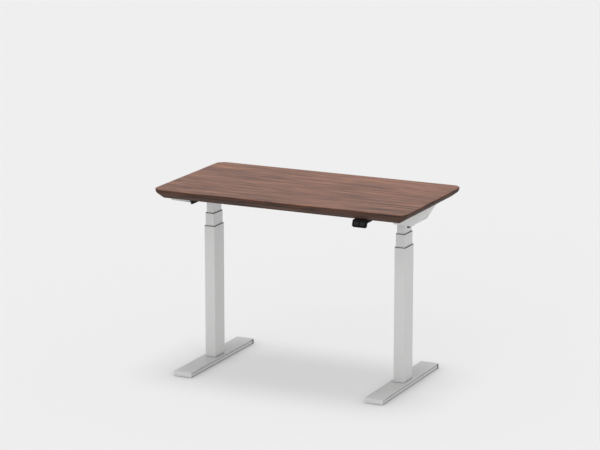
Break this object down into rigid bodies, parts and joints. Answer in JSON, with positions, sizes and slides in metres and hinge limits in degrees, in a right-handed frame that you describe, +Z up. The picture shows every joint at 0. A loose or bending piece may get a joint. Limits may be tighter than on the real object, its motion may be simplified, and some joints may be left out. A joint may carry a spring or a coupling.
{
  "type": "height adjustable standing desk",
  "caption": "Sit-stand desk: walnut top with bevelled underside and rounded corners on three-stage electric lifting columns with flat feet and an under-edge push-button handset.",
  "frame": {"origin": "on the floor, under the middle of the tabletop", "axes": "+X along the width of the desk, +Y from the user to the far edge, +Z up"},
  "size_m": [1.12, 0.6, 0.786],
  "materials": {
    "walnut_wood": "oiled, satin",
    "powder_coated_steel": "light grey powder coat, fine texture",
    "black_plastic": "fine moulded texture",
    "dark_grey_plastic": "satin",
    "collar_plastic": "satin",
    "guide_plastic": "smooth",
    "glide_rubber": "matte",
    "lead_sheath": "satin",
    "cast_housing": "die cast, dull",
    "black_motor_paint": "satin",
    "screw_steel": "zinc plated",
    "spindle_steel": "rolled, greased",
    "nut_bronze": "machined"
  },
  "bodies": {
    "left_base": {"left_outer_tube": "powder_coated_steel", "left_outer_collar": "collar_plastic", "left_stand_tube": "spindle_steel", "left_base_nut": "nut_bronze", "left_foot": "powder_coated_steel", "left_foot_screws": "screw_steel", "left_foot_cap": "black_plastic"},
    "left_middle": {"left_middle_tube": "powder_coated_steel", "left_middle_collar": "collar_plastic", "left_middle_guides": "guide_plastic", "left_push_tube": "spindle_steel", "left_spindle_nut": "nut_bronze", "left_spindle_bearing": "spindle_steel"},
    "desk_top": {"tabletop": "walnut_wood", "left_side_bracket": "powder_coated_steel", "right_side_bracket": "powder_coated_steel", "bracket_plugs": "black_plastic", "front_rail": "powder_coated_steel", "rear_rail": "powder_coated_steel", "frame_bolts": "screw_steel", "top_screws": "screw_steel", "left_gearbox": "cast_housing", "right_gearbox": "cast_housing", "left_motor": "black_motor_paint", "right_motor": "black_motor_paint", "left_inner_tube": "powder_coated_steel", "right_inner_tube": "powder_coated_steel", "inner_tube_guides": "guide_plastic", "control_box": "black_plastic", "power_inlet": "dark_grey_plastic", "lead_plugs": "dark_grey_plastic", "left_motor_lead": "lead_sheath", "right_motor_lead": "lead_sheath", "handset_lead": "lead_sheath", "cable_clips": "black_plastic", "handset_housing": "black_plastic"},
    "right_middle": {"right_middle_tube": "powder_coated_steel", "right_middle_collar": "collar_plastic", "right_middle_guides": "guide_plastic", "right_push_tube": "spindle_steel", "right_spindle_nut": "nut_bronze", "right_spindle_bearing": "spindle_steel"},
    "right_base": {"right_outer_tube": "powder_coated_steel", "right_outer_collar": "collar_plastic", "right_stand_tube": "spindle_steel", "right_base_nut": "nut_bronze", "right_foot": "powder_coated_steel", "right_foot_screws": "screw_steel", "right_foot_cap": "black_plastic"},
    "left_upper_spindle": {"left_upper_spindle": "spindle_steel"},
    "left_hollow_spindle": {"left_hollow_spindle": "spindle_steel"},
    "right_upper_spindle": {"right_upper_spindle": "spindle_steel"},
    "right_hollow_spindle": {"right_hollow_spindle": "spindle_steel"},
    "up_button": {"up_button": "dark_grey_plastic"},
    "down_button": {"down_button": "dark_grey_plastic"},
    "left_front_glide": {"left_front_glide": "glide_rubber"},
    "left_rear_glide": {"left_rear_glide": "glide_rubber"},
    "right_front_glide": {"right_front_glide": "glide_rubber"},
    "right_rear_glide": {"right_rear_glide": "glide_rubber"}
  },
  "joints": [
    {"name": "left_lower_stage", "type": "slide", "parent": "left_base", "child": "left_middle", "axis": [0, 0, 1], "range_m": [-0.033, 0.232]},
    {"name": "left_upper_stage", "type": "slide", "parent": "left_middle", "child": "desk_top", "axis": [0, 0, 1], "range_m": [-0.033, 0.232]},
    {"name": "right_upper_stage", "type": "slide", "parent": "desk_top", "child": "right_middle", "axis": [0, 0, -1], "range_m": [-0.033, 0.232]},
    {"name": "right_lower_stage", "type": "slide", "parent": "right_middle", "child": "right_base", "axis": [0, 0, -1], "range_m": [-0.033, 0.232]},
    {"name": "left_upper_spindle_turn", "type": "hinge", "parent": "desk_top", "child": "left_upper_spindle", "pos_m": [-0.432, 0, 0.6], "axis": [0, 0, 1], "range_deg": [-1982, 13922]},
    {"name": "left_hollow_spindle_turn", "type": "hinge", "parent": "left_middle", "child": "left_hollow_spindle", "pos_m": [-0.432, 0, 0.4], "axis": [0, 0, 1], "range_deg": [-1982, 13922]},
    {"name": "right_upper_spindle_turn", "type": "hinge", "parent": "desk_top", "child": "right_upper_spindle", "pos_m": [0.432, 0, 0.6], "axis": [0, 0, 1], "range_deg": [-1982, 13922]},
    {"name": "right_hollow_spindle_turn", "type": "hinge", "parent": "right_middle", "child": "right_hollow_spindle", "pos_m": [0.432, 0, 0.4], "axis": [0, 0, 1], "range_deg": [-1982, 13922]},
    {"name": "up_button_press", "type": "slide", "parent": "desk_top", "child": "up_button", "axis": [0, 0.9432, -0.3322], "range_m": [0, 0.001], "stiffness_N_per_m": 1500},
    {"name": "down_button_press", "type": "slide", "parent": "desk_top", "child": "down_button", "axis": [0, 0.9432, -0.3322], "range_m": [0, 0.001], "stiffness_N_per_m": 1500},
    {"name": "left_front_glide_screw", "type": "slide", "parent": "left_base", "child": "left_front_glide", "axis": [0, 0, -1], "range_m": [0, 0.006]},
    {"name": "left_rear_glide_screw", "type": "slide", "parent": "left_base", "child": "left_rear_glide", "axis": [0, 0, -1], "range_m": [0, 0.006]},
    {"name": "right_front_glide_screw", "type": "slide", "parent": "right_base", "child": "right_front_glide", "axis": [0, 0, -1], "range_m": [0, 0.006]},
    {"name": "right_rear_glide_screw", "type": "slide", "parent": "right_base", "child": "right_rear_glide", "axis": [0, 0, -1], "range_m": [0, 0.006]}
  ],
  "couplings": [
    {"joint": "left_upper_stage", "follows": "left_lower_stage", "ratio": 1},
    {"joint": "right_upper_stage", "follows": "left_lower_stage", "ratio": 1},
    {"joint": "right_lower_stage", "follows": "left_lower_stage", "ratio": 1},
    {"joint": "left_upper_spindle_turn", "follows": "left_lower_stage", "rad_per_m": 1047.2},
    {"joint": "left_hollow_spindle_turn", "follows": "left_lower_stage", "rad_per_m": 1047.2},
    {"joint": "right_upper_spindle_turn", "follows": "left_lower_stage", "rad_per_m": 1047.2},
    {"joint": "right_hollow_spindle_turn", "follows": "left_lower_stage", "rad_per_m": 1047.2}
  ]
}
